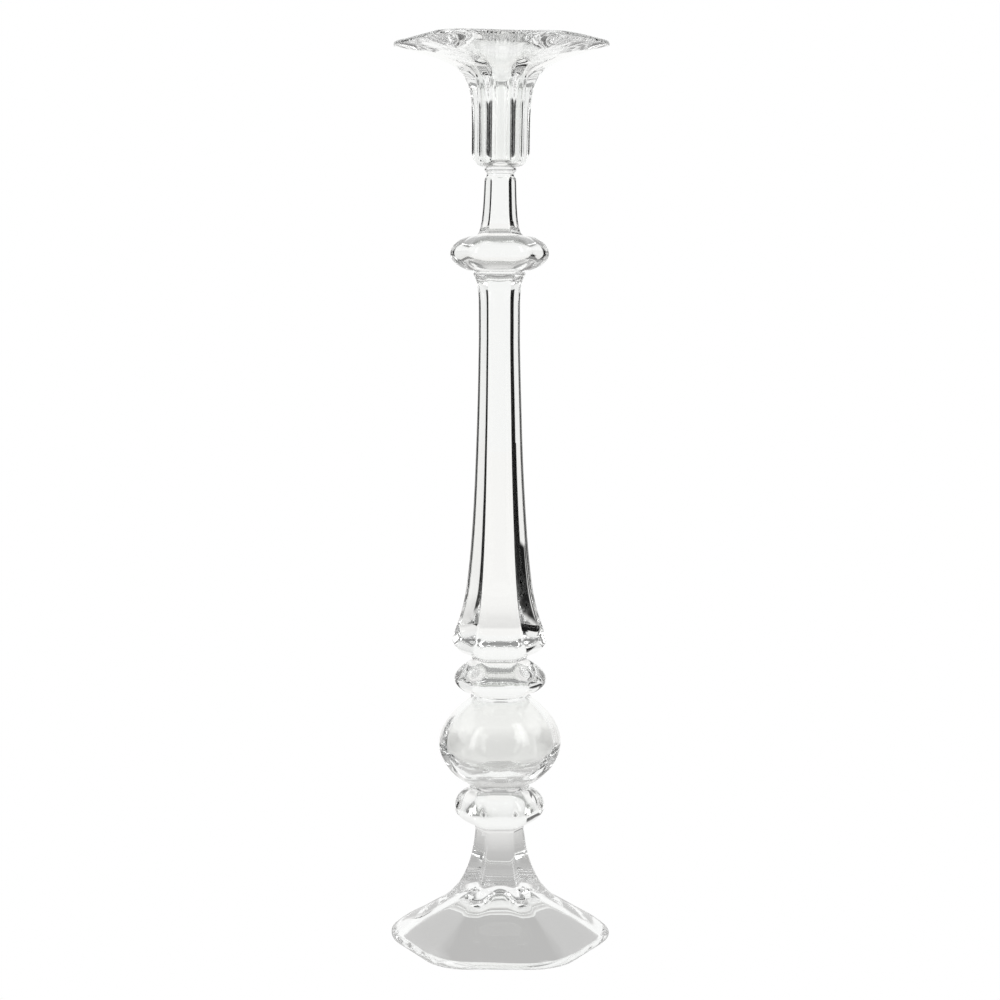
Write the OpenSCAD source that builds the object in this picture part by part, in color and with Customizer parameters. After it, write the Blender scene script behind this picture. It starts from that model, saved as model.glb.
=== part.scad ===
// Tall six-sided candlestick in clear glass.
// Each piece is a hot-formed glass section with six panels. The sections stand on one another
// flat face to flat face, and thin discs of glass, called wafers, join them at the waists.
// A reach is half of a section's width across its corners. Corners point along X.

/* [Foot] */
// Width of the foot across its corners
foot_w = 151; // [115:1:190]
// Height of the foot
foot_h = 77.6; // [62:0.2:100]
// Width of the foot's neck across its corners
foot_neck_w = 33; // [28:1:38]
// Thickness of the foot's rolled rim
foot_rim_t = 8; // [6:0.5:10]
// Width of the band that the foot rests on
foot_rest_w = 6; // [5:0.5:9]
// Height of the hollow under the foot
foot_hollow_h = 34; // [20:1:38]

/* [Collars] */
// Height of the collar under the ball
lower_collar_h = 26.1; // [20:0.1:32]
// Width of the collar under the ball
lower_collar_w = 61.8; // [52:0.2:74]
// Height of the collar above the ball
upper_collar_h = 23.9; // [19:0.1:30]
// Width of the collar above the ball
upper_collar_w = 62.6; // [52:0.2:74]
// Width of the waists above and below the ball
ball_waist_w = 40.5; // [34:0.5:46]

/* [Ball] */
// Height of the ball
ball_h = 60.7; // [50:0.1:74]
// Width of the ball across its softened corners
ball_w = 83.4; // [68:0.2:100]
// Thickness of the ball's wall at its widest
ball_wall = 5; // [3:0.5:7]
// Thickness of the glass under the bubble
ball_floor_t = 7; // [5:0.5:9]
// Radius of the mouth that the ball was blown through
ball_mouth_r = 10; // [7:0.5:12]

/* [Stem] */
// Height of the stem
stem_h = 258.3; // [205:0.1:320]
// Width of the stem at its shoulder
shoulder_w = 64.2; // [54:0.2:78]
// Height of the shoulder's widest point above the stem's foot
shoulder_h = 12.4; // [10:0.2:15]
// Width of the stem where it is narrowest
stem_w = 27.6; // [24:0.2:34]
// Width of the stem at its top
stem_top_w = 34.2; // [31:0.2:42]
// Width of the waist under the shoulder
stem_waist_w = 37; // [31:0.5:42]

/* [Knop and neck] */
// Height of the knop
knop_h = 23.7; // [20:0.1:30]
// Width of the knop
knop_w = 66.2; // [56:0.2:82]
// Width of the waist under the knop
knop_waist_w = 29.5; // [26:0.5:32]
// Height of the neck
neck_h = 38.8; // [33:0.2:48]
// Width of the neck along its straight part
neck_w = 22; // [19:0.2:27]
// Width of the neck where it spreads onto the knop
neck_foot_w = 32; // [29:0.2:40]

/* [Candle socket] */
// Height of the socket from its base to the rim of the drip pan
socket_h = 82.2; // [74:0.1:100]
// Width of the cup across its corners
cup_w = 38.6; // [34:0.2:48]
// Width of the drip pan across its corners
pan_w = 142; // [115:1:180]
// Thickness of the drip pan at its rim
pan_rim_t = 2.4; // [1.6:0.2:4]
// Depth of the drip pan's funnel, from its rim to the candle hole
funnel_h = 20.4; // [17:0.2:26]
// Radius of the candle hole
candle_r = 11.5; // [10.5:0.25:13]
// Thickness of the glass under the candle hole
socket_floor_t = 4.2; // [3:0.2:12]

/* [Wafers] */
// Thickness of the discs that join the sections
wafer_t = 2.5; // [1.5:0.1:4]
// Height of the ring under the candle socket
ring_h = 6.2; // [5:0.1:9]
// Width of the ring under the candle socket
ring_w = 21; // [18:0.2:26]

/* [Hidden] */
$fn = 96;

// Facets round each softened corner, and levels along a curve or a bulge
corner_steps = 2;
curve_steps = 9;
bulge_steps = 12;

// Share of a section's reach that its corner radius takes
crisp = 0.16;
soft = 0.34;
rolled = 0.46;
full = 0.6;
near_round = 0.85;

// How far a cut runs past the face it opens through
past = 1;

// Foot: reach of the small flat at the top of its hollow, as a share of the hollow's whole reach
crown_share = 0.02;

// Ball: reach of the flat at the bottom of the bubble, and height of the widest point as a share
bubble_floor_r = 3;
ball_widest_share = 0.48;

// Upper collar: height of its widest point as a share of the collar's height
upper_collar_widest_share = 0.44;

// Stem: where the shoulder ends above the foot of the stem, and how much wider it still is there
shoulder_end_h = 44;
shoulder_end_extra = 9.1;

// Stem: the straight slim part, from and to these depths below the stem's top
slim_from = 43;
slim_to = 22;

// Socket: depth of the candle hole below the funnel
candle_depth = socket_h - funnel_h - socket_floor_t;

// Socket: height at which the cup has rounded out to its full width
cup_corner_h = 11;

// A wafer stands this much inside the waist it fills, across its width
wafer_inset = 1;
clear_glass = [0.87, 0.91, 0.89, 0.45];

// Heights of the pieces' bases above the table
foot_wafer_z = foot_h;
lower_collar_z = foot_wafer_z + wafer_t;
ball_wafer_z = lower_collar_z + lower_collar_h;
ball_z = ball_wafer_z + wafer_t;
collar_wafer_z = ball_z + ball_h;
upper_collar_z = collar_wafer_z + wafer_t;
stem_wafer_z = upper_collar_z + upper_collar_h;
stem_z = stem_wafer_z + wafer_t;
knop_wafer_z = stem_z + stem_h;
knop_z = knop_wafer_z + wafer_t;
neck_z = knop_z + knop_h;
ring_z = neck_z + neck_h;
socket_z = ring_z + ring_h;

// A profile is a list of [height, reach, corner share], from the bottom up. The handles of its
// curves are placed from the ends that they belong to, so they follow when a size changes.

// One level of a loft: a hexagon whose corners are softened by arcs
function level(p) =
    let (arc_r = p[1] * p[2], centre = p[1] - arc_r)
    [for (corner = [0 : 5], step = [0 : corner_steps])
        let (middle = 60 * corner, turn = middle + 60 * (step / corner_steps - 0.5))
        [centre * cos(middle) + arc_r * cos(turn), centre * sin(middle) + arc_r * sin(turn), p[0]]];

// A cubic curve from a to d, leaving a towards b and reaching d from c
function curve(a, b, c, d, steps = curve_steps) =
    [for (i = [0 : steps])
        let (t = i / steps, s = 1 - t)
        s * s * s * a + 3 * s * s * t * b + 3 * s * t * t * c + t * t * t * d];

// A bulge of height h, from reach low out to wide at wide_z, and back in to high.
// The leans are for its lower and upper sides: 1 is an ellipse, and more is leaner.
function bulge(h, low, wide, high, wide_z, share, leans = [1, 1]) =
    [for (i = [0 : bulge_steps])
        let (
            turn = 180 * i / bulge_steps - 90,
            end = turn < 0 ? low : high,
            half_h = turn < 0 ? wide_z : h - wide_z,
            lean = turn < 0 ? leans[0] : leans[1]
        )
        [wide_z + half_h * sin(turn), end + (wide - end) * pow(max(0, cos(turn)), lean), share]];

// A profile from its last level to its first
function reversed(profile) = [for (i = [len(profile) - 1 : -1 : 0]) profile[i]];

// A profile moved up by h
function raised(profile, h) = [for (p = profile) p + [h, 0, 0]];

// The levels of a profile but its first, so that it can follow on from another
function rest_of(profile) = [for (i = [1 : len(profile) - 1]) profile[i]];

// A solid through every level of a profile
module loft(profile) {
    around = 6 * (corner_steps + 1);
    top = around * (len(profile) - 1);
    sides = [for (below = [0 : around : top - 1], i = [0 : around - 1])
        let (next = (i + 1) % around)
        each [
            [below + i, below + around + i, below + around + next],
            [below + i, below + around + next, below + next]
        ]];
    bottom_face = [for (i = [0 : around - 1]) i];
    top_face = [for (i = [around - 1 : -1 : 0]) top + i];
    polyhedron([for (p = profile) each level(p)], concat([bottom_face, top_face], sides), convexity = 8);
}

// A disc of glass between two sections, with a rounded edge
module wafer(w, t) {
    edge_r = t / 2;
    rotate_extrude() {
        square([w / 2 - edge_r, t]);
        translate([w / 2 - edge_r, edge_r]) intersection() {
            circle(edge_r, $fn = 32);
            translate([0, -edge_r]) square([edge_r, t]);
        }
    }
}

// Foot: a bell-shaped hollow underneath, a flat band to rest on, a rolled rim, and a concave flare up to
// the neck. Its one profile runs down the hollow, out under the band, and up the outside.
module foot() {
    foot_reach = foot_w / 2;
    neck_reach = foot_neck_w / 2;
    rim_r = foot_rim_t / 2;
    rest_inner = foot_reach - rim_r - foot_rest_w;
    hollow = curve(
        [foot_hollow_h, rest_inner * crown_share, full],
        [foot_hollow_h * 0.97, rest_inner * 0.26, full],
        [foot_hollow_h * 0.4, rest_inner * 0.7, rolled],
        [0, rest_inner, rolled]
    );
    rim = [for (turn = [-90 : 30 : 60])
        [rim_r + rim_r * sin(turn), foot_reach - rim_r + rim_r * cos(turn), rolled]];
    rim_end = rim[len(rim) - 1];
    flare = curve(
        rim_end,
        rim_end + [18, -20, 0],
        [rim_end[0] + 13, neck_reach + 5, crisp],
        [foot_h, neck_reach, soft],
        steps = 14
    );
    color(clear_glass)
    loft(concat(hollow, rim, rest_of(flare)));
}

// Collar under the ball
module lower_collar() {
    color(clear_glass)
    translate([0, 0, lower_collar_z])
    loft(bulge(lower_collar_h, foot_neck_w / 2, lower_collar_w / 2, ball_waist_w / 2,
        lower_collar_h / 2, soft, [1.5, 1.25]));
}

// Ball: blown hollow, with the mouth that it was blown through left open in its top. Its one
// profile runs up the outside, in over the top, and down the bubble.
module ball() {
    widest_z = ball_h * ball_widest_share;
    shell = bulge(ball_h, ball_waist_w / 2, ball_w / 2, ball_waist_w / 2, widest_z, full, [1.6, 1.9]);
    bubble = bulge(ball_h - ball_floor_t, bubble_floor_r, ball_w / 2 - ball_wall, ball_mouth_r,
        widest_z - ball_floor_t, full, [1, 1.5]);
    color(clear_glass)
    translate([0, 0, ball_z])
    loft(concat(shell, raised(reversed(bubble), ball_floor_t)));
}

// Collar above the ball
module upper_collar() {
    color(clear_glass)
    translate([0, 0, upper_collar_z])
    loft(bulge(upper_collar_h, ball_waist_w / 2, upper_collar_w / 2, stem_waist_w / 2,
        upper_collar_h * upper_collar_widest_share, soft, [1.45, 2.1]));
}

// Stem: a full shoulder at the bottom, then a long taper and a small flare under the knop
module stem() {
    shoulder_reach = shoulder_w / 2;
    slim_reach = stem_w / 2;
    widest = [shoulder_h, shoulder_reach, crisp];
    drawn_in = [shoulder_end_h, slim_reach + shoulder_end_extra, crisp];
    slimmest = [stem_h - slim_from, slim_reach, crisp];
    shoulder = curve(
        [0, stem_waist_w / 2, soft],
        [shoulder_h * 0.06, shoulder_reach - 6, soft],
        [shoulder_h * 0.52, shoulder_reach, crisp],
        widest
    );
    shoulder_top = curve(widest, widest + [5.5, -2, 0], drawn_in + [-13, 2.1, 0], drawn_in);
    taper = curve(drawn_in, drawn_in + [34.5, -5.5, 0], slimmest + [-65, 1.1, 0], slimmest);
    flare = curve(
        [stem_h - slim_to, slim_reach, crisp],
        [stem_h - 10, slim_reach, crisp],
        [stem_h - 4, slim_reach + 1, crisp],
        [stem_h, stem_top_w / 2, soft],
        steps = 6
    );
    color(clear_glass)
    translate([0, 0, stem_z])
    loft(concat(shoulder, rest_of(shoulder_top), rest_of(taper), flare));
}

// Knop: wide, with a blunt upper side and a leaner lower side
module knop() {
    color(clear_glass)
    translate([0, 0, knop_z])
    loft(bulge(knop_h, knop_waist_w / 2, knop_w / 2, neck_foot_w / 2, knop_h / 2, soft, [1.15, 1.05]));
}

// Neck: spreads onto the knop, runs straight, and rounds in to the ring above it
module neck() {
    neck_reach = neck_w / 2;
    spread = curve(
        [0, neck_foot_w / 2, soft],
        [neck_h * 0.06, neck_reach + 0.7, crisp],
        [neck_h * 0.4, neck_reach + 0.3, crisp],
        [neck_h * 0.9, neck_reach - 0.4, crisp]
    );
    top = [[neck_h * 0.97, neck_reach - 0.7, soft], [neck_h, neck_reach - 1.6, full]];
    color(clear_glass)
    translate([0, 0, neck_z])
    loft(concat(spread, top));
}

// Candle socket: a six-sided cup that flares into the drip pan, with a round hole for the candle
module candle_socket() {
    cup_reach = cup_w / 2;
    pan_reach = pan_w / 2;
    rim_under_z = socket_h - pan_rim_t;
    mouth_z = socket_h - funnel_h;
    cup_foot = curve(
        [0, ring_w / 2 - 0.5, near_round],
        [0.8, cup_reach - 4, soft],
        [cup_corner_h * 0.4, cup_reach, crisp],
        [cup_corner_h, cup_reach, crisp],
        steps = 6
    );
    flare = curve(
        [cup_corner_h, cup_reach, crisp],
        [rim_under_z - 13.2, cup_reach, crisp],
        [rim_under_z - 14.5, cup_reach - 0.8, soft],
        [rim_under_z, pan_reach, soft],
        steps = 18
    );
    funnel = curve(
        [mouth_z, candle_r + 0.8, near_round],
        [mouth_z + funnel_h * 0.3, candle_r + 4.5, full],
        [mouth_z + funnel_h * 0.78, pan_reach / 2, soft],
        [socket_h, pan_reach - pan_rim_t, soft]
    );
    color(clear_glass)
    translate([0, 0, socket_z])
    difference() {
        loft(concat(cup_foot, rest_of(flare), [[socket_h, pan_reach - 0.4, soft]]));
        loft(concat(funnel, [[socket_h + past, pan_reach - pan_rim_t + past, soft]]));
        translate([0, 0, socket_floor_t]) cylinder(r = candle_r, h = candle_depth + past);
    }
}

// Wafers, each as wide as the waist it sits in
module foot_wafer() {
    color(clear_glass)
    translate([0, 0, foot_wafer_z]) wafer(foot_neck_w - wafer_inset, wafer_t);
}

module ball_wafer() {
    color(clear_glass)
    translate([0, 0, ball_wafer_z]) wafer(ball_waist_w - wafer_inset, wafer_t);
}

module collar_wafer() {
    color(clear_glass)
    translate([0, 0, collar_wafer_z]) wafer(ball_waist_w - wafer_inset, wafer_t);
}

module stem_wafer() {
    color(clear_glass)
    translate([0, 0, stem_wafer_z]) wafer(stem_waist_w - wafer_inset, wafer_t);
}

module knop_wafer() {
    color(clear_glass)
    translate([0, 0, knop_wafer_z]) wafer(knop_waist_w - wafer_inset, wafer_t);
}

// The deeper ring under the candle socket
module socket_wafer() {
    color(clear_glass)
    translate([0, 0, ring_z]) wafer(ring_w, ring_h);
}

foot();
foot_wafer();
lower_collar();
ball_wafer();
ball();
collar_wafer();
upper_collar();
stem_wafer();
stem();
knop_wafer();
knop();
neck();
socket_wafer();
candle_socket();
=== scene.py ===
"""A tall six-sided candlestick in clear glass, dressed for a plain white studio.

Every section is turned from one outline, pressed into six panels, and worked a little by hand.
Sections meet at fused faces, which let light straight through, as one body of glass does.
"""
import logging
import math
from dataclasses import dataclass, field
from enum import Enum

import bmesh
import bpy
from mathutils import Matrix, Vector, noise


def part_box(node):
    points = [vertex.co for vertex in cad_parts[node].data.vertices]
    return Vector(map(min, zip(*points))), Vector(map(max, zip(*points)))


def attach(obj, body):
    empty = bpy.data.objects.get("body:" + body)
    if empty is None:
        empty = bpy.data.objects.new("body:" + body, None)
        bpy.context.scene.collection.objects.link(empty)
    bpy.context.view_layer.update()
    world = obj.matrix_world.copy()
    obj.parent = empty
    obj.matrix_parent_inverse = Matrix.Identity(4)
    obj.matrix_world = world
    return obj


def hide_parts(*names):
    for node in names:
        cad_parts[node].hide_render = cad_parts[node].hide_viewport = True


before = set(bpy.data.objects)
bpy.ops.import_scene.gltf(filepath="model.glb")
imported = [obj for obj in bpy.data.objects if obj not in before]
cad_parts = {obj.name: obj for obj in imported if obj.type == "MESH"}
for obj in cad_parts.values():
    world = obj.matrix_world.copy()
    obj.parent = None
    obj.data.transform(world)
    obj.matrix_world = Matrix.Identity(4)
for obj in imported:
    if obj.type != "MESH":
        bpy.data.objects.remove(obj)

LOG = logging.getLogger("candlestick")
MM = 0.001
SIXTH = math.radians(60)
HALF_SIXTH = math.radians(30)
WELD_WITHIN = 0.0005 * MM
IN_JOINT_WITHIN = 0.005 * MM
CALM_NEAR_JOINT = 5 * MM
REST_CALM = 0.4 * MM
SWAY_FROM_TABLE = 0.03
SHARP_EDGE = math.radians(38)
RIPPLE_SEED = 1  # fixes the noise that Ripple draws, which otherwise changes from run to run
WHITE = (1.0, 1.0, 1.0, 1.0)
# WARM_WHITE colours the floor's glow that the glass sees, which carries painted shade.
WARM_WHITE = (1.0, 0.99, 0.985, 1.0)


class Softness(Enum):
    """How much of a section's reach its corner radius takes."""

    KEEN = 0.07
    CRISP = 0.12
    PRESSED = 0.34
    ROLLED = 0.46
    FULL = 0.6
    ROUND = 0.97


# ---------------------------------------------------------------------------------------------
# Outlines
# ---------------------------------------------------------------------------------------------


@dataclass(frozen=True)
class Station:
    """One level of a section, in millimetres: its height, its reach, and its corner share.

    scoop is how deep its panels are hollowed, as a share of the reach.
    """

    z: float
    reach: float
    share: float = Softness.PRESSED.value
    scoop: float = 0.0

    def mixed(self, other: "Station", amount: float) -> "Station":
        """Return the station that lies between this one and another.

        Args:
            other: The station at amount 1.
            amount: From 0, this station, to 1, the other.

        Returns:
            The station between them.
        """
        keep = 1 - amount
        return Station(
            keep * self.z + amount * other.z,
            keep * self.reach + amount * other.reach,
            keep * self.share + amount * other.share,
            keep * self.scoop + amount * other.scoop,
        )


class Outline:
    """Half the silhouette of a section, drawn from its first station to its last."""

    def __init__(self, start: Station) -> None:
        """Start the outline at one station."""
        self.stations: list[Station] = [start]

    def line_to(self, end: Station, steps: int = 1) -> "Outline":
        """Add a straight run.

        Args:
            end: Where the run ends.
            steps: How many levels it is made in.

        Returns:
            This outline.
        """
        start = self.stations[-1]
        self.stations += [start.mixed(end, i / steps) for i in range(1, steps + 1)]
        return self

    def curve_to(self, leave: Station, reach: Station, end: Station, steps: int = 16) -> "Outline":
        """Add a cubic curve.

        Args:
            leave: The station that the curve leaves towards.
            reach: The station that the curve arrives from.
            end: Where the curve ends.
            steps: How many levels it is made in.

        Returns:
            This outline.
        """
        start = self.stations[-1]
        for i in range(1, steps + 1):
            t = i / steps
            first, second, third = start.mixed(leave, t), leave.mixed(reach, t), reach.mixed(end, t)
            self.stations.append(first.mixed(second, t).mixed(second.mixed(third, t), t))
        return self

    def bulge_to(
        self, widest: Station, end: Station, leans: tuple[float, float] = (1.0, 1.0), steps: int = 20
    ) -> "Outline":
        """Add a bulge that swells to its widest station and draws in again.

        Args:
            widest: The station where the bulge is widest.
            end: Where the bulge ends.
            leans: For the first and second half, 1 for an ellipse and more for a leaner side.
            steps: How many levels each half is made in.

        Returns:
            This outline.
        """
        start = self.stations[-1]
        for i in range(1, 2 * steps + 1):
            turn = math.pi * (i / (2 * steps) - 0.5)
            near, lean = (start, leans[0]) if turn < 0 else (end, leans[1])
            height = abs(math.sin(turn))
            fullness = max(0.0, math.cos(turn)) ** lean
            self.stations.append(
                Station(
                    widest.z + (near.z - widest.z) * height,
                    near.reach + (widest.reach - near.reach) * fullness,
                    near.share + (widest.share - near.share) * fullness,
                    near.scoop + (widest.scoop - near.scoop) * fullness,
                )
            )
        return self


# ---------------------------------------------------------------------------------------------
# Shaping
# ---------------------------------------------------------------------------------------------


def smooth_step(low: float, high: float, value: float) -> float:
    """Rise smoothly from 0 to 1.

    Args:
        low: Where the rise starts.
        high: Where the rise ends.
        value: Where to read it.

    Returns:
        0 below low, 1 above high, and a smooth rise between.
    """
    t = min(1.0, max(0.0, (value - low) / (high - low)))
    return t * t * (3 - 2 * t)


def panelled(turn: float, share: float, scoop: float) -> tuple[float, float]:
    """Move one point of a circle of radius 1 onto a hexagon with rounded corners.

    Points are gathered towards the corners, where the surface bends, and spread over the panels.

    Args:
        turn: The point's angle on the circle, from a corner at 0.
        share: The corner radius as a share of the reach.
        scoop: How deep each panel is hollowed, as a share of the reach.

    Returns:
        The point's new angle and its distance from the axis.
    """
    corner = round(turn / SIXTH) * SIXTH
    side = math.copysign(1.0, turn - corner)
    along = min(1.0, abs(turn - corner) / HALF_SIXTH)
    centre = 1 - share
    tangent = math.atan2(share * 0.5, centre + share * math.cos(HALF_SIXTH))
    gathered = 0.4 + 0.6 * share
    if along <= gathered:
        off = tangent * along / gathered
        distance = centre * math.cos(off) + math.sqrt(max(0.0, share**2 - (centre * math.sin(off)) ** 2))
        return corner + side * off, distance
    flat = centre * math.cos(HALF_SIXTH) + share
    half_width = flat * math.tan(HALF_SIXTH - tangent)
    across = half_width * (1 - along) / (1 - gathered)
    depth = flat - scoop * (1 - (across / half_width) ** 2)
    return corner + side * (HALF_SIXTH - math.atan2(across, depth)), math.hypot(across, depth)


def sway(z: float) -> Vector:
    """Return how far the hand-built column stands off its axis.

    It leans a little to the right at the top, and stands right again where the ball meets the collar
    above it.

    Args:
        z: The height, in metres.

    Returns:
        The shift, in metres.
    """
    top = smooth_step(0.44, 0.62, z)
    collar = math.exp(-(((z - 0.165) / 0.022) ** 2))
    return Vector((1.5 * top + 0.9 * collar - 0.4, 0.3 * math.sin(z * 14.0), 0.0)) * MM


@dataclass(frozen=True)
class Ripple:
    """How far hand work left a surface from true.

    depth is how far a point may move, and spacing is the distance between swells, in millimetres.
    seed picks one of many such surfaces, and rim adds a slow wave to what lies far from the axis.
    """

    depth: float = 0.12
    spacing: float = 18.0
    seed: float = 0.0
    rim: float = 0.0

    def offset(self, point: Vector, calm: float) -> Vector:
        """Return how far a point moves.

        Args:
            point: The point, in metres.
            calm: From 0 at a fused face to 1 away from it.

        Returns:
            The move, in metres.
        """
        at = point / (self.spacing * MM) + Vector((self.seed, 1.7 * self.seed, -self.seed))
        move = noise.noise_vector(at) * self.depth
        if self.rim:
            turn = math.atan2(point.y, point.x)
            far = smooth_step(0.03, 0.07, math.hypot(point.x, point.y))
            wave = math.sin(2 * turn + self.seed) + 0.6 * math.sin(3 * turn + 2.1 * self.seed)
            lift = 0.7 * math.sin(3 * turn + 0.8 + self.seed) + 0.5 * math.sin(5 * turn - self.seed)
            swell = Vector((math.cos(turn) * wave, math.sin(turn) * wave, lift))
            move = move + swell * (self.rim * far)
        return move * (calm * MM)


@dataclass(frozen=True)
class Joint:
    """A face where two sections were fused while hot, with its height in metres."""

    z: float
    reach: float
    share: float = Softness.PRESSED.value
    bore: float = 0.0

    def station(self) -> Station:
        """Return the joint's edge as a station."""
        return Station(self.z / MM, self.reach, self.share)

    def holds(self, face: bmesh.types.BMFace) -> bool:
        """Tell whether a mesh face lies in this joint.

        Args:
            face: The face.

        Returns:
            True where it is flat in the joint and outside its bore.
        """
        flat = all(abs(v.co.z - self.z) < IN_JOINT_WITHIN for v in face.verts)
        widest = max(math.hypot(v.co.x, v.co.y) for v in face.verts)
        return flat and widest > (self.bore + 0.5) * MM


# ---------------------------------------------------------------------------------------------
# Finishes
# ---------------------------------------------------------------------------------------------


SWELL_SCALE = 55.0
CORD_STRETCH = (320.0, 320.0, 26.0)  # drawn out along the axis, as the glass was when it was pulled
SEED_SCALE = 110.0
SEED_EDGE, SEED_CORE = 0.07, 0.02
VEIL_SCALE = 34.0
VEIL_STARTS, VEIL_FULL = 0.5, 0.8


def fire_polish_group() -> bpy.types.ShaderNodeTree:
    """Build the effect that all the glass shares: soft swells, fine cords and tiny seeds.

    Returns:
        The node group, with inputs Vector, Swell, Cord and Seed, and outputs Height and Veil.
    """
    tree = bpy.data.node_groups.new("fire_polish", "ShaderNodeTree")
    tree.interface.new_socket("Vector", in_out="INPUT", socket_type="NodeSocketVector")
    for name in ("Swell", "Cord", "Seed"):
        tree.interface.new_socket(name, in_out="INPUT", socket_type="NodeSocketFloat")
    tree.interface.new_socket("Height", in_out="OUTPUT", socket_type="NodeSocketFloat")
    tree.interface.new_socket("Veil", in_out="OUTPUT", socket_type="NodeSocketFloat")
    nodes, links = tree.nodes, tree.links
    given = nodes.new("NodeGroupInput")
    result = nodes.new("NodeGroupOutput")

    swell = nodes.new("ShaderNodeTexNoise")
    swell.inputs["Scale"].default_value = SWELL_SCALE
    swell.inputs["Detail"].default_value = 1.0
    stretch = nodes.new("ShaderNodeMapping")
    stretch.inputs["Scale"].default_value = CORD_STRETCH
    cord = nodes.new("ShaderNodeTexNoise")
    cord.inputs["Scale"].default_value = 1.0
    cord.inputs["Detail"].default_value = 2.0
    seed = nodes.new("ShaderNodeTexVoronoi")
    seed.inputs["Scale"].default_value = SEED_SCALE
    dot = nodes.new("ShaderNodeMapRange")
    dot.interpolation_type = "SMOOTHSTEP"
    dot.inputs["From Min"].default_value = SEED_EDGE
    dot.inputs["From Max"].default_value = SEED_CORE
    links.new(given.outputs["Vector"], swell.inputs["Vector"])
    links.new(given.outputs["Vector"], stretch.inputs["Vector"])
    links.new(stretch.outputs["Vector"], cord.inputs["Vector"])
    links.new(given.outputs["Vector"], seed.inputs["Vector"])
    links.new(seed.outputs["Distance"], dot.inputs["Value"])

    total: bpy.types.Node | None = None
    for source, amount in (
        (swell.outputs["Fac"], "Swell"),
        (cord.outputs["Fac"], "Cord"),
        (dot.outputs["Result"], "Seed"),
    ):
        scaled = nodes.new("ShaderNodeMath")
        scaled.operation = "MULTIPLY"
        links.new(source, scaled.inputs[0])
        links.new(given.outputs[amount], scaled.inputs[1])
        if total is None:
            total = scaled
            continue
        added = nodes.new("ShaderNodeMath")
        added.operation = "ADD"
        links.new(total.outputs[0], added.inputs[0])
        links.new(scaled.outputs[0], added.inputs[1])
        total = added
    links.new(total.outputs[0], result.inputs["Height"])

    veil = nodes.new("ShaderNodeTexNoise")
    veil.inputs["Scale"].default_value = VEIL_SCALE
    veil.inputs["Detail"].default_value = 4.0
    links.new(given.outputs["Vector"], veil.inputs["Vector"])
    links.new(veil.outputs["Fac"], result.inputs["Veil"])
    return tree


@dataclass(frozen=True)
class GlassFinish:
    """A clear glass, with the colour it has in the thick and the marks that its making left."""

    name: str
    tint: tuple[float, float, float] = (0.992, 0.996, 0.990)
    veiled_tint: tuple[float, float, float] = (0.976, 0.984, 0.974)
    ior: float = 1.51
    roughest: float = 0.006
    swell: float = 0.5
    cord: float = 0.25
    seed: float = 0.15
    relief: float = 0.00004

    def build(self, polish: bpy.types.ShaderNodeTree) -> bpy.types.Material:
        """Make the material.

        Args:
            polish: The shared fire-polish node group.

        Returns:
            The material.
        """
        material = bpy.data.materials.new(self.name)
        material.use_nodes = True
        nodes, links = material.node_tree.nodes, material.node_tree.links
        shader = nodes["Principled BSDF"]
        shader.inputs["Transmission Weight"].default_value = 1.0
        shader.inputs["IOR"].default_value = self.ior
        where = nodes.new("ShaderNodeTexCoord")
        marks = nodes.new("ShaderNodeGroup")
        marks.node_tree = polish
        marks.inputs["Swell"].default_value = self.swell
        marks.inputs["Cord"].default_value = self.cord
        marks.inputs["Seed"].default_value = self.seed
        links.new(where.outputs["Object"], marks.inputs["Vector"])

        bump = nodes.new("ShaderNodeBump")
        bump.inputs["Strength"].default_value = 1.0
        bump.inputs["Distance"].default_value = self.relief
        links.new(marks.outputs["Height"], bump.inputs["Height"])
        links.new(bump.outputs["Normal"], shader.inputs["Normal"])

        colour = nodes.new("ShaderNodeMix")
        colour.data_type = "RGBA"
        colour.inputs["A"].default_value = (*self.tint, 1.0)
        colour.inputs["B"].default_value = (*self.veiled_tint, 1.0)
        links.new(marks.outputs["Veil"], colour.inputs["Factor"])
        links.new(colour.outputs["Result"], shader.inputs["Base Color"])

        rough = nodes.new("ShaderNodeMapRange")
        rough.inputs["From Min"].default_value = VEIL_STARTS
        rough.inputs["From Max"].default_value = VEIL_FULL
        rough.inputs["To Max"].default_value = self.roughest
        links.new(marks.outputs["Veil"], rough.inputs["Value"])
        links.new(rough.outputs["Result"], shader.inputs["Roughness"])
        return material


@dataclass(frozen=True)
class FusedFinish:
    """The inside of a joint, where two sections became one and no surface is left to see."""

    name: str = "fused_joint"

    def build(self) -> bpy.types.Material:
        """Make the material, which lets everything straight through."""
        material = bpy.data.materials.new(self.name)
        material.use_nodes = True
        shader = material.node_tree.nodes["Principled BSDF"]
        shader.inputs["Alpha"].default_value = 0.0
        shader.inputs["Roughness"].default_value = 0.0
        return material


@dataclass
class Finishes:
    """Every material of the candlestick, built once."""

    fused: bpy.types.Material = field(init=False)
    glass: dict[str, bpy.types.Material] = field(init=False)

    def __post_init__(self) -> None:
        """Build the shared effect and each material."""
        polish = fire_polish_group()
        self.fused = FusedFinish().build()
        kinds = (
            GlassFinish(
                "socket_glass",
                tint=(0.978, 0.984, 0.976),
                veiled_tint=(0.962, 0.972, 0.958),
                swell=0.15,
                cord=0.05,
                seed=0.02,
            ),
            GlassFinish("solid_glass", tint=(0.984, 0.99, 0.98), veiled_tint=(0.965, 0.975, 0.96)),
            GlassFinish(
                "blown_glass",
                tint=(0.972, 0.978, 0.97),
                veiled_tint=(0.955, 0.964, 0.952),
                swell=0.8,
                cord=0.4,
            ),
            GlassFinish("joint_glass"),
            GlassFinish("foot_glass", swell=1.0, cord=0.3),
        )
        self.glass = {kind.name: kind.build(polish) for kind in kinds}


# ---------------------------------------------------------------------------------------------
# Sections
# ---------------------------------------------------------------------------------------------


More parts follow.
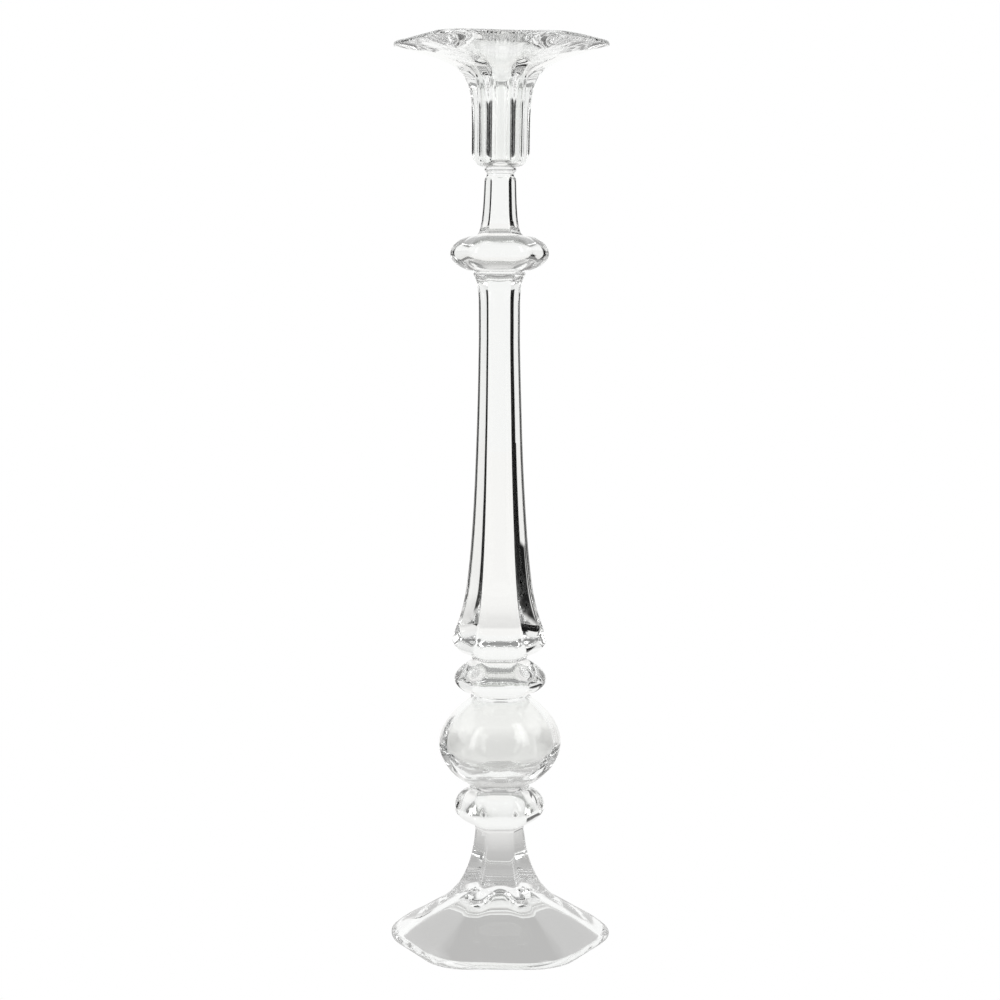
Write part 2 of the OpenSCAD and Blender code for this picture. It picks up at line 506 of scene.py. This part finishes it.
@dataclass
class Section:
    """One piece of glass: an outline turned round the axis, pressed into panels and worked."""

    node: str
    low: Joint | None
    high: Joint | None
    ripple: Ripple = Ripple()
    finish: str = "solid_glass"
    around: int = 144

    def outline(self) -> Outline:
        """Draw the outline, from the first open end to the last."""
        raise NotImplementedError

    def joints(self) -> list[Joint]:
        """Return the fused faces that this piece has."""
        return [joint for joint in (self.low, self.high) if joint is not None]

    def top_mm(self) -> float:
        """Return the height of the piece's highest point in the frame, in millimetres."""
        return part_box(self.node)[1][2] / MM

    def build(self, finishes: Finishes) -> bpy.types.Object:
        """Turn, press, work and dress the piece.

        Args:
            finishes: The materials to dress it in.

        Returns:
            The finished object.
        """
        bm = bmesh.new()
        self._turn(bm)
        self._press(bm)
        self._close(bm)
        self._fuse(bm)
        self._work(bm)
        self._smooth(bm)
        mesh = bpy.data.meshes.new(f"{self.node}_glass")
        bm.to_mesh(mesh)
        bm.free()
        piece = bpy.data.objects.new(f"{self.node}_glass", mesh)
        bpy.context.scene.collection.objects.link(piece)
        mesh.materials.append(finishes.glass[self.finish])
        mesh.materials.append(finishes.fused)
        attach(piece, "root")
        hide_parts(self.node)
        LOG.info("%s: %d faces", piece.name, len(mesh.polygons))
        return piece

    def _turn(self, bm: bmesh.types.BMesh) -> None:
        """Spin the outline round the axis, with each point keeping its corner share and scoop."""
        share, scoop = bm.verts.layers.float.new("share"), bm.verts.layers.float.new("scoop")
        points = []
        for station in self.outline().stations:
            point = bm.verts.new((station.reach * MM, 0.0, station.z * MM))
            point[share] = station.share
            point[scoop] = station.scoop
            points.append(point)
        edges = [bm.edges.new(pair) for pair in zip(points, points[1:])]
        bmesh.ops.spin(
            bm,
            geom=[*points, *edges],
            cent=(0, 0, 0),
            axis=(0, 0, 1),
            angle=math.tau,
            steps=self.around,
            use_merge=True,
        )

    def _press(self, bm: bmesh.types.BMesh) -> None:
        """Press the turned shape into six panels."""
        share, scoop = bm.verts.layers.float["share"], bm.verts.layers.float["scoop"]
        for v in bm.verts:
            reach = math.hypot(v.co.x, v.co.y)
            turn, distance = panelled(math.atan2(v.co.y, v.co.x), v[share], v[scoop])
            v.co.x = reach * distance * math.cos(turn)
            v.co.y = reach * distance * math.sin(turn)

    def _close(self, bm: bmesh.types.BMesh) -> None:
        """Close the two open ends and turn every face outwards."""
        bmesh.ops.remove_doubles(bm, verts=bm.verts[:], dist=WELD_WITHIN)
        ends = [edge for edge in bm.edges if edge.is_boundary]
        bmesh.ops.holes_fill(bm, edges=ends, sides=0)
        bmesh.ops.recalc_face_normals(bm, faces=bm.faces[:])

    def _fuse(self, bm: bmesh.types.BMesh) -> None:
        """Mark the faces that lie in a joint."""
        for face in bm.faces:
            face.material_index = int(any(joint.holds(face) for joint in self.joints()))

    def _work(self, bm: bmesh.types.BMesh) -> None:
        """Add the small irregularities of hand work, and none at a fused face."""
        for v in bm.verts:
            gap = min((abs(v.co.z - joint.z) for joint in self.joints()), default=1.0)
            calm = smooth_step(0.0, CALM_NEAR_JOINT, min(gap, v.co.z + REST_CALM))
            v.co += self.ripple.offset(v.co, calm)
            v.co += sway(v.co.z) * smooth_step(0.0, SWAY_FROM_TABLE, v.co.z)

    def _smooth(self, bm: bmesh.types.BMesh) -> None:
        """Shade the surface smooth, and keep its few real edges sharp."""
        for face in bm.faces:
            face.smooth = True
        for edge in bm.edges:
            if len(edge.link_faces) == 2 and edge.calc_face_angle() > SHARP_EDGE:
                edge.smooth = False


@dataclass
class Wafer(Section):
    """A disc of glass between two sections, rounded where it bulged as it was pressed."""

    swell: float = 0.35
    finish: str = "joint_glass"

    def outline(self) -> Outline:
        """Draw the short ring between the two joints."""
        low, high = self.low.station(), self.high.station()
        middle = low.mixed(high, 0.5)
        widest = Station(middle.z, max(low.reach, high.reach) + self.swell, middle.share)
        if self.low.bore:
            start = Outline(Station(low.z, self.low.bore, Softness.FULL.value)).line_to(low, 2)
        else:
            start = Outline(low)
        return start.bulge_to(widest, high, steps=5)


@dataclass
class Ring(Section):
    """The deeper disc under the cup: a narrow band with a lip standing out above it."""

    band: float = 18.4
    lip: float = 21.2
    finish: str = "joint_glass"

    def outline(self) -> Outline:
        """Draw the band, the lip and the short return to the cup."""
        low, high = self.low.station(), self.high.station()
        height, full = high.z - low.z, Softness.FULL.value
        line = Outline(low)
        line.curve_to(
            Station(low.z + height * 0.15, self.band / 2 - 0.1, full),
            Station(low.z + height * 0.3, self.band / 2 - 0.1, full),
            Station(low.z + height * 0.5, self.band / 2 + 0.2, full),
            8,
        )
        return line.bulge_to(Station(low.z + height * 0.78, self.lip / 2, full), high, (1.3, 1.0), 7)


@dataclass
class Collar(Section):
    """A flattened six-sided moulding, solid right through."""

    width: float = 61.8
    widest_share: float = 0.5
    leans: tuple[float, float] = (1.3, 1.3)
    share: float = Softness.PRESSED.value

    def outline(self) -> Outline:
        """Draw one bulge from joint to joint."""
        low, high = self.low.station(), self.high.station()
        widest = Station(low.z + (high.z - low.z) * self.widest_share, self.width / 2, self.share)
        return Outline(low).bulge_to(widest, high, self.leans)


@dataclass
class Foot(Section):
    """The flared foot, with its rolled rim and the bell-shaped hollow under it."""

    width: float = 151.0
    rim: float = 8.0
    rest: float = 6.0
    hollow: float = 34.0
    rim_turn: float = 150.0
    rim_steps: int = 12
    finish: str = "foot_glass"

    def outline(self) -> Outline:
        """Draw down the hollow, out under the rim, and up the outside to the neck."""
        high = self.high.station()
        reach, roll = self.width / 2, self.rim / 2
        inner = reach - roll - self.rest
        rolled, full, crisp = Softness.ROLLED.value, Softness.FULL.value, Softness.CRISP.value
        line = Outline(Station(self.hollow, inner * 0.02, full))
        line.curve_to(
            Station(self.hollow * 0.97, inner * 0.26, full),
            Station(self.hollow * 0.4, inner * 0.7, rolled),
            Station(0.6, inner, rolled),
            32,
        )
        line.line_to(Station(0.0, inner + 1.0, rolled), 2)
        line.line_to(Station(0.0, reach - roll, rolled), 3)
        for i in range(1, self.rim_steps + 1):
            turn = math.radians(-90 + self.rim_turn * i / self.rim_steps)
            out, up = roll * math.cos(turn), roll * math.sin(turn)
            line.line_to(Station(roll + up, reach - roll + out, rolled))
        rim = line.stations[-1]
        line.curve_to(
            Station(rim.z + 18, rim.reach - 20, rolled),
            Station(rim.z + 13, high.reach + 5, crisp),
            high,
            44,
        )
        return line


@dataclass
class Ball(Section):
    """The blown ball, open at the top until the next joint closed it."""

    width: float = 83.4
    wall: float = 5.0
    bottom_wall: float = 7.0
    share: float = Softness.FULL.value
    finish: str = "blown_glass"

    def outline(self) -> Outline:
        """Draw up the outside, in over the top, and down the inside of the bubble."""
        low, high = self.low.station(), self.high.station()
        height = high.z - low.z
        widest = Station(low.z + height * 0.48, self.width / 2, self.share)
        inside = Station(widest.z + 0.5, self.width / 2 - self.wall, 0.75)
        mouth = Station(high.z, self.high.bore, Softness.FULL.value)
        bottom = Station(low.z + self.bottom_wall, 1.0, Softness.ROUND.value)
        line = Outline(low).bulge_to(widest, high, (1.6, 1.9), 26)
        return line.line_to(mouth, 3).bulge_to(inside, bottom, (1.5, 1.0), 26)


@dataclass
class Stem(Section):
    """The long solid baluster, with a full shoulder below and a slim waist above."""

    shoulder: float = 64.2
    shoulder_height: float = 12.4
    slim: float = 27.6
    scoop: float = 0.03

    def outline(self) -> Outline:
        """Draw the shoulder, the long taper and the small flare at the top."""
        low, high = self.low.station(), self.high.station()
        keen, pressed, hollow = Softness.KEEN.value, Softness.PRESSED.value, self.scoop
        base, wide, slim = low.z, self.shoulder / 2, self.slim / 2
        line = Outline(low)
        widest = Station(base + self.shoulder_height, wide, keen, hollow * 0.5)
        drawn_in = Station(base + 44, slim + 9.1, keen, hollow)
        line.curve_to(
            Station(base + self.shoulder_height * 0.06, wide - 6, pressed),
            Station(base + self.shoulder_height * 0.52, wide, pressed),
            widest,
            18,
        )
        line.curve_to(
            Station(widest.z + 5.5, wide - 2.0, keen, hollow),
            Station(drawn_in.z - 13, drawn_in.reach + 2.1, keen, hollow),
            drawn_in,
            22,
        )
        line.curve_to(
            Station(drawn_in.z + 34.5, drawn_in.reach - 5.5, keen, hollow),
            Station(high.z - 108, slim + 1.1, keen, hollow),
            Station(high.z - 43, slim, keen, hollow),
            28,
        )
        line.line_to(Station(high.z - 22, slim, keen, hollow), 4)
        return line.curve_to(
            Station(high.z - 10, slim, keen, hollow),
            Station(high.z - 4, slim + 1, keen, hollow),
            high,
            12,
        )


@dataclass
class Neck(Section):
    """The short neck, which spreads onto the knop and rounds in under the ring."""

    width: float = 22.0
    scoop: float = 0.03

    def outline(self) -> Outline:
        """Draw the spread, the straight run and the rounded top."""
        low, high = self.low.station(), self.high.station()
        keen, pressed, hollow = Softness.KEEN.value, Softness.PRESSED.value, self.scoop
        height, half = high.z - low.z, self.width / 2
        line = Outline(low)
        line.curve_to(
            Station(low.z + height * 0.06, half + 0.7, keen, hollow),
            Station(low.z + height * 0.4, half + 0.3, keen, hollow),
            Station(low.z + height * 0.9, half - 0.4, keen, hollow),
            24,
        )
        return line.curve_to(
            Station(low.z + height * 0.95, half - 0.45, keen, hollow),
            Station(high.z, half - 0.7, pressed),
            high,
            8,
        )


@dataclass
class CandleSocket(Section):
    """The six-sided cup, flared into the drip pan, with the round candle hole down its middle."""

    cup: float = 38.6
    pan: float = 142.0
    rim: float = 2.4
    funnel: float = 20.4
    hole: float = 23.0
    floor: float = 4.2
    scoop: float = 0.02
    finish: str = "socket_glass"
    around: int = 216

    def outline(self) -> Outline:
        """Draw up the outside, over the rim, down the funnel and down the candle hole."""
        low = self.low.station()
        top = self.top_mm()
        cup, pan, hole = self.cup / 2, self.pan / 2, self.hole / 2
        crisp, pressed, full = Softness.CRISP.value, Softness.PRESSED.value, Softness.FULL.value
        round_share = Softness.ROUND.value
        under, mouth = top - self.rim, top - self.funnel
        line = Outline(low)
        line.curve_to(
            Station(low.z + 0.8, cup - 4, pressed),
            Station(low.z + 4.4, cup, crisp, self.scoop),
            Station(low.z + 11, cup, crisp, self.scoop),
            16,
        )
        line.curve_to(
            Station(under - 13.2, cup, crisp, self.scoop),
            Station(under - 14.5, cup - 0.8, pressed, self.scoop),
            Station(under, pan, pressed),
            80,
        )
        line.curve_to(
            Station(under + self.rim * 0.6, pan + 0.3, pressed),
            Station(top, pan - 0.1, pressed),
            Station(top, pan - 1.2, pressed),
            6,
        )
        line.line_to(Station(top - 0.3, pan - self.rim, pressed), 2)
        line.curve_to(
            Station(mouth + self.funnel * 0.78, pan / 2, pressed),
            Station(mouth + self.funnel * 0.3, hole + 4.5, full),
            Station(mouth, hole, round_share),
            60,
        )
        bottom = low.z + self.floor
        line.line_to(Station(bottom + 2, hole, round_share), 12)
        return line.curve_to(
            Station(bottom + 0.8, hole, round_share),
            Station(bottom, hole - 1, round_share),
            Station(bottom, hole - 3, round_share),
            6,
        )


@dataclass(frozen=True)
class Waists:
    """How far each joint reaches across its corners, in millimetres, from the foot up."""

    foot: float = 16.5
    ball: float = 20.2
    ball_mouth: float = 10.0
    stem_foot: float = 18.5
    stem_top: float = 17.1
    knop_foot: float = 14.7
    knop_top: float = 16.0
    neck_top: float = 9.4
    cup: float = 10.0


@dataclass
class Candlestick:
    """The whole candlestick, from its foot to its drip pan."""

    finishes: Finishes = field(default_factory=Finishes)
    waists: Waists = Waists()

    @staticmethod
    def _joint(
        below: str, reach: float, share: Softness = Softness.PRESSED, bore: float = 0.0
    ) -> Joint:
        """Return the joint on top of a node.

        Args:
            below: The node that the joint lies on top of.
            reach: The joint's reach across corners, in millimetres.
            share: How soft its corners are.
            bore: The radius of the opening in its middle, in millimetres.

        Returns:
            The joint.
        """
        return Joint(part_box(below)[1][2], reach, share.value, bore)

    def sections(self) -> list[Section]:
        """Return every piece, from the foot up, each pair sharing one joint."""
        waists, full = self.waists, Softness.FULL
        on_foot = self._joint("foot", waists.foot)
        under_collar = self._joint("foot_wafer", waists.foot)
        on_collar = self._joint("lower_collar", waists.ball)
        under_ball = self._joint("ball_wafer", waists.ball, full)
        on_ball = self._joint("ball", waists.ball, full, waists.ball_mouth)
        under_upper = self._joint("collar_wafer", waists.ball)
        on_upper = self._joint("upper_collar", waists.stem_foot)
        under_stem = self._joint("stem_wafer", waists.stem_foot)
        on_stem = self._joint("stem", waists.stem_top)
        under_knop = self._joint("knop_wafer", waists.knop_foot)
        on_knop = self._joint("knop", waists.knop_top)
        on_neck = self._joint("neck", waists.neck_top, full)
        under_socket = self._joint("socket_wafer", waists.cup, full)
        return [
            Foot("foot", None, on_foot, Ripple(0.5, 30, 3.1, rim=0.7)),
            Wafer("foot_wafer", on_foot, under_collar),
            Collar("lower_collar", under_collar, on_collar, Ripple(0.25, 20, 5.3), leans=(1.5, 1.25)),
            Wafer("ball_wafer", on_collar, under_ball),
            Ball("ball", under_ball, on_ball, Ripple(0.6, 28, 8.2)),
            Wafer("collar_wafer", on_ball, under_upper),
            Collar(
                "upper_collar",
                under_upper,
                on_upper,
                Ripple(0.25, 20, 1.9),
                width=62.6,
                widest_share=0.44,
                leans=(1.45, 2.1),
            ),
            Wafer("stem_wafer", on_upper, under_stem),
            Stem("stem", under_stem, on_stem, Ripple(0.1, 40, 4.4)),
            Wafer("knop_wafer", on_stem, under_knop),
            Collar("knop", under_knop, on_knop, Ripple(0.3, 20, 6.6), width=66.2, leans=(1.15, 1.05)),
            Neck("neck", on_knop, on_neck, Ripple(0.1, 20, 2.7)),
            Ring("socket_wafer", on_neck, under_socket, Ripple(0.1, 10, 9.4)),
            CandleSocket("candle_socket", under_socket, None, Ripple(0.05, 40, 7.5, rim=0.5)),
        ]

    def build(self) -> None:
        """Build every section, with the same ripples each time."""
        noise.seed_set(RIPPLE_SEED)
        for section in self.sections():
            section.build(self.finishes)


# ---------------------------------------------------------------------------------------------
# Studio
# ---------------------------------------------------------------------------------------------


class Graph:
    """A short way to write shader arithmetic in a node tree."""

    def __init__(self, tree: bpy.types.NodeTree) -> None:
        """Start writing in a tree."""
        self.nodes = tree.nodes
        self.links = tree.links

    def math(self, operation: str, *values: bpy.types.NodeSocket | float) -> bpy.types.NodeSocket:
        """Add one Math node.

        Args:
            operation: The node's operation.
            values: What goes in, as sockets or plain numbers.

        Returns:
            The result's socket.
        """
        node = self.nodes.new("ShaderNodeMath")
        node.operation = operation
        for socket, value in zip(node.inputs, values):
            if isinstance(value, bpy.types.NodeSocket):
                self.links.new(value, socket)
            else:
                socket.default_value = value
        return node.outputs[0]

    def ramp(
        self, value: bpy.types.NodeSocket, low: float, high: float, start: float = 0.0, end: float = 1.0
    ) -> bpy.types.NodeSocket:
        """Add a smooth rise or fall.

        Args:
            value: What it follows.
            low: Where it leaves its start.
            high: Where it reaches its end.
            start: The result below low.
            end: The result above high.

        Returns:
            The result's socket.
        """
        node = self.nodes.new("ShaderNodeMapRange")
        node.interpolation_type = "SMOOTHSTEP"
        node.inputs["From Min"].default_value = low
        node.inputs["From Max"].default_value = high
        node.inputs["To Min"].default_value = start
        node.inputs["To Max"].default_value = end
        self.links.new(value, node.inputs["Value"])
        return node.outputs["Result"]

    def band(
        self, value: bpy.types.NodeSocket, low: float, high: float, soft: float
    ) -> bpy.types.NodeSocket:
        """Add a mask that is 1 between two limits and 0 outside them.

        Args:
            value: What it follows.
            low: The lower limit.
            high: The upper limit.
            soft: How far its edges fade to each side of a limit.

        Returns:
            The result's socket.
        """
        rise = self.ramp(value, low - soft, low + soft)
        fall = self.ramp(value, high - soft, high + soft, 1.0, 0.0)
        return self.math("MULTIPLY", rise, fall)

    def blend(
        self, factor: bpy.types.NodeSocket, low: bpy.types.NodeSocket | float, high: float
    ) -> bpy.types.NodeSocket:
        """Go from one value to another as a factor goes from 0 to 1.

        Args:
            factor: What it follows.
            low: The value at 0.
            high: The value at 1.

        Returns:
            The result's socket.
        """
        gap = self.math("SUBTRACT", high, low)
        return self.math("MULTIPLY_ADD", factor, gap, low)


@dataclass(frozen=True)
class Card:
    """A card that hangs round the glass, as the angles that it fills and how bright it is.

    turn is from straight behind the glass, growing to the right, and rise is from level, both in
    degrees. soft is how wide its edges fade.
    """

    turn: tuple[float, float]
    rise: tuple[float, float]
    brightness: float
    soft: float = 1.0


@dataclass(frozen=True)
class PaintedShadePatch:
    """A patch of painted shade on the floor as the glass sees it: the ground that it covers, and its
    brightness.

    turn is as on a Card, and away is the distance from the candlestick's axis, in metres.
    """

    turn: tuple[float, float]
    away: tuple[float, float]
    brightness: float
    soft: float = 0.01


@dataclass
class Studio:
    """A white sweep lit from behind, with dark cards at the sides to draw the glass's edges.

    Lengths are in metres and angles in degrees. The light is full until lit_until degrees from
    straight behind the glass, and falls to front at dim_from. Bounces are high because light runs
    a long way inside the thin pan before it comes out.
    """

    camera_distance: float = 1.312
    camera_height: float = 0.443
    camera_pitch: float = 6.0
    lens: float = 70.0
    lit_until: float = 95.0
    dim_from: float = 120.0
    front: float = 0.3
    floor_radius: float = 3.0
    floor_drop: float = 0.0004
    bounces: int = 64
    glass_bounces: int = 48
    joint_bounces: int = 32
    cards: tuple[Card, ...] = (
        Card((-110, -40), (-40, 12), 0.0),
        Card((46, 100), (-40, 12), 0.0),
        Card((-200, 200), (50, 100), 0.4, 4.0),
        Card((125, 150), (10, 60), 3.0, 4.0),
        Card((-140, -120), (0, 50), 2.5, 4.0),
    )
    # Painted shade on the floor, seen only by way of the glass: dim in front, dark at the sides behind.
    painted_shade_patches: tuple[PaintedShadePatch, ...] = (
        PaintedShadePatch((-100, -38), (1.2, 6.0), 0.0, 0.04),
        PaintedShadePatch((-100, -31), (0.3, 1.25), 0.0, 0.04),
        PaintedShadePatch((46, 100), (0.34, 6.0), 0.0, 0.04),
        PaintedShadePatch((110, 190), (0.25, 6.0), 0.3, 0.05),
        PaintedShadePatch((-190, -110), (0.25, 6.0), 0.3, 0.05),
    )

    def build(self) -> None:
        """Set up the camera, the light and the floor."""
        self._camera()
        self._world()
        self._floor()
        scene = bpy.context.scene
        scene.view_settings.view_transform = "Standard"
        scene.cycles.max_bounces = self.bounces
        scene.cycles.transmission_bounces = self.glass_bounces
        scene.cycles.glossy_bounces = self.glass_bounces
        scene.cycles.transparent_max_bounces = self.joint_bounces

    def _camera(self) -> None:
        """Place the camera in front of a panel, a little above the middle of the stem."""
        data = bpy.data.cameras.new("studio_camera")
        data.lens = self.lens
        data.sensor_width = 36.0
        camera = bpy.data.objects.new("studio_camera", data)
        camera.location = (0.0, -self.camera_distance, self.camera_height)
        camera.rotation_euler = (math.radians(90 - self.camera_pitch), 0.0, 0.0)
        bpy.context.scene.collection.objects.link(camera)
        bpy.context.scene.camera = camera

    @staticmethod
    def _angles(
        graph: Graph, vector: bpy.types.NodeSocket
    ) -> tuple[bpy.types.NodeSocket, bpy.types.NodeSocket, bpy.types.NodeSocket]:
        """Split a vector into its turn and rise in degrees, and its length along the ground.

        Args:
            graph: Where to write.
            vector: The vector's socket.

        Returns:
            The three sockets.
        """
        split = graph.nodes.new("ShaderNodeSeparateXYZ")
        graph.links.new(vector, split.inputs[0])
        x, y, z = split.outputs
        away = graph.math("SQRT", graph.math("MULTIPLY_ADD", x, x, graph.math("MULTIPLY", y, y)))
        turn = graph.math("DEGREES", graph.math("ARCTAN2", x, y))
        rise = graph.math("DEGREES", graph.math("ARCTAN2", z, away))
        return turn, rise, away

    def _world(self) -> None:
        """Light the glass from all round, and show plain white where nothing is in the way."""
        world = bpy.data.worlds.new("studio")
        bpy.context.scene.world = world
        world.use_nodes = True
        graph = Graph(world.node_tree)
        seen = graph.nodes["Background"]
        seen.inputs["Color"].default_value = WHITE
        where = graph.nodes.new("ShaderNodeTexCoord")
        turn, rise, _ = self._angles(graph, where.outputs["Generated"])
        off_behind = graph.math("ABSOLUTE", turn)
        light = graph.ramp(off_behind, self.lit_until, self.dim_from, 1.0, self.front)
        for card in self.cards:
            across, up = graph.band(turn, *card.turn, card.soft), graph.band(rise, *card.rise, card.soft)
            light = graph.blend(graph.math("MULTIPLY", across, up), light, card.brightness)
        around = graph.nodes.new("ShaderNodeBackground")
        graph.links.new(light, around.inputs["Strength"])
        around.inputs["Color"].default_value = WHITE
        self._split_by_view(graph, around, seen, graph.nodes["World Output"])

    @staticmethod
    def _split_by_view(
        graph: Graph, unseen: bpy.types.Node, seen: bpy.types.Node, output: bpy.types.Node
    ) -> None:
        """Use one shader where the camera looks straight at it, and another for all other light.

        Args:
            graph: Where to write.
            unseen: The shader for light that comes by way of the glass.
            seen: The shader that the camera sees.
            output: The output node to feed.
        """
        path = graph.nodes.new("ShaderNodeLightPath")
        mix = graph.nodes.new("ShaderNodeMixShader")
        graph.links.new(path.outputs["Is Camera Ray"], mix.inputs["Fac"])
        graph.links.new(unseen.outputs[0], mix.inputs[1])
        graph.links.new(seen.outputs[0], mix.inputs[2])
        graph.links.new(mix.outputs[0], output.inputs["Surface"])

    def _floor(self) -> None:
        """Lay the pale floor, plain white to the camera; the glass sees an emission painted with shade,
        grey close by and white further off.
        """
        bm = bmesh.new()
        bmesh.ops.create_circle(bm, cap_ends=True, segments=64, radius=self.floor_radius)
        bmesh.ops.translate(bm, verts=bm.verts, vec=(0.0, 0.0, -self.floor_drop))
        mesh = bpy.data.meshes.new("floor")
        bm.to_mesh(mesh)
        bm.free()
        floor = bpy.data.objects.new("floor", mesh)
        bpy.context.scene.collection.objects.link(floor)
        material = bpy.data.materials.new("pale_floor_with_painted_shade")
        material.use_nodes = True
        graph = Graph(material.node_tree)
        graph.nodes.remove(graph.nodes["Principled BSDF"])
        where = graph.nodes.new("ShaderNodeTexCoord")
        turn, _, away = self._angles(graph, where.outputs["Object"])
        # Painted shade: the floor's glow that the glass sees is grey near the axis, as if the
        # candlestick shaded the floor round its foot, and rises to white further off.
        near, far = graph.ramp(away, 0.06, 0.22, 0.52, 0.84), graph.ramp(away, 0.35, 0.6, 0.0, 0.16)
        light = graph.math("ADD", near, far)
        # Painted shade: each patch darkens the floor's glow where the glass sees it.
        for shade_patch in self.painted_shade_patches:
            across, out = graph.band(turn, *shade_patch.turn, 1.0), graph.band(away, *shade_patch.away, shade_patch.soft)
            light = graph.blend(graph.math("MULTIPLY", across, out), light, shade_patch.brightness)
        seen = graph.nodes.new("ShaderNodeEmission")
        seen.inputs["Color"].default_value = WHITE
        # The glass sees this emission, whose strength carries the painted shade; the camera sees the
        # plain white one.
        under = graph.nodes.new("ShaderNodeEmission")
        under.inputs["Color"].default_value = WARM_WHITE
        graph.links.new(light, under.inputs["Strength"])
        self._split_by_view(graph, under, seen, graph.nodes["Material Output"])
        mesh.materials.append(material)


def main() -> None:
    """Build the candlestick and its studio."""
    logging.basicConfig(level=logging.INFO, format="%(message)s")
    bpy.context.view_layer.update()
    Studio().build()
    Candlestick().build()


if __name__ == "__main__":
    main()
